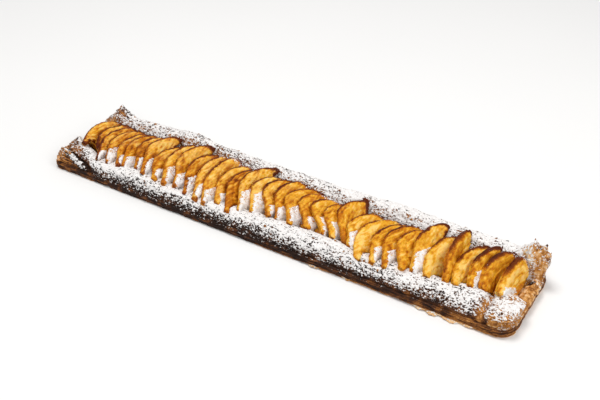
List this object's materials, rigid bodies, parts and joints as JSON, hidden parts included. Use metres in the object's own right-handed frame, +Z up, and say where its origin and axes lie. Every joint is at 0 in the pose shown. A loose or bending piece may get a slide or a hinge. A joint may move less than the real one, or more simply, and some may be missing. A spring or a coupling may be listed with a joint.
{
  "type": "apple tart",
  "caption": "Long rectangular puff pastry apple tart: raised sugared pastry edges along both long sides and a row of leaning glazed apple slices between them.",
  "frame": {"origin": "centre of the tart's bounding box in plan, at the underside of the pastry base", "axes": "+X along the tart towards the end with the bare pastry lip, +Y across it towards the taller pastry edge, +Z up"},
  "size_m": [0.5422, 0.1056, 0.0464],
  "materials": {
    "pastry": "matte",
    "filling": "satin",
    "apple": "satin"
  },
  "bodies": {
    "root": {"pastry_base": "pastry", "pastry_strip_front": "pastry", "pastry_strip_back": "pastry", "apple_filling": "filling", "apple_slice_01": "apple", "apple_slice_02": "apple", "apple_slice_03": "apple", "apple_slice_04": "apple", "apple_slice_05": "apple", "apple_slice_06": "apple", "apple_slice_07": "apple", "apple_slice_08": "apple", "apple_slice_09": "apple", "apple_slice_10": "apple", "apple_slice_11": "apple", "apple_slice_12": "apple", "apple_slice_13": "apple", "apple_slice_14": "apple", "apple_slice_15": "apple", "apple_slice_16": "apple", "apple_slice_17": "apple", "apple_slice_18": "apple", "apple_slice_19": "apple", "apple_slice_20": "apple", "apple_slice_21": "apple", "apple_slice_22": "apple", "apple_slice_23": "apple", "apple_slice_24": "apple", "apple_slice_25": "apple", "apple_slice_26": "apple", "apple_slice_27": "apple", "apple_slice_28": "apple", "apple_slice_29": "apple", "apple_slice_30": "apple", "apple_slice_31": "apple", "apple_slice_32": "apple", "apple_slice_33": "apple", "apple_slice_34": "apple", "apple_slice_35": "apple", "apple_slice_36": "apple", "apple_slice_37": "apple"}
  },
  "joints": []
}
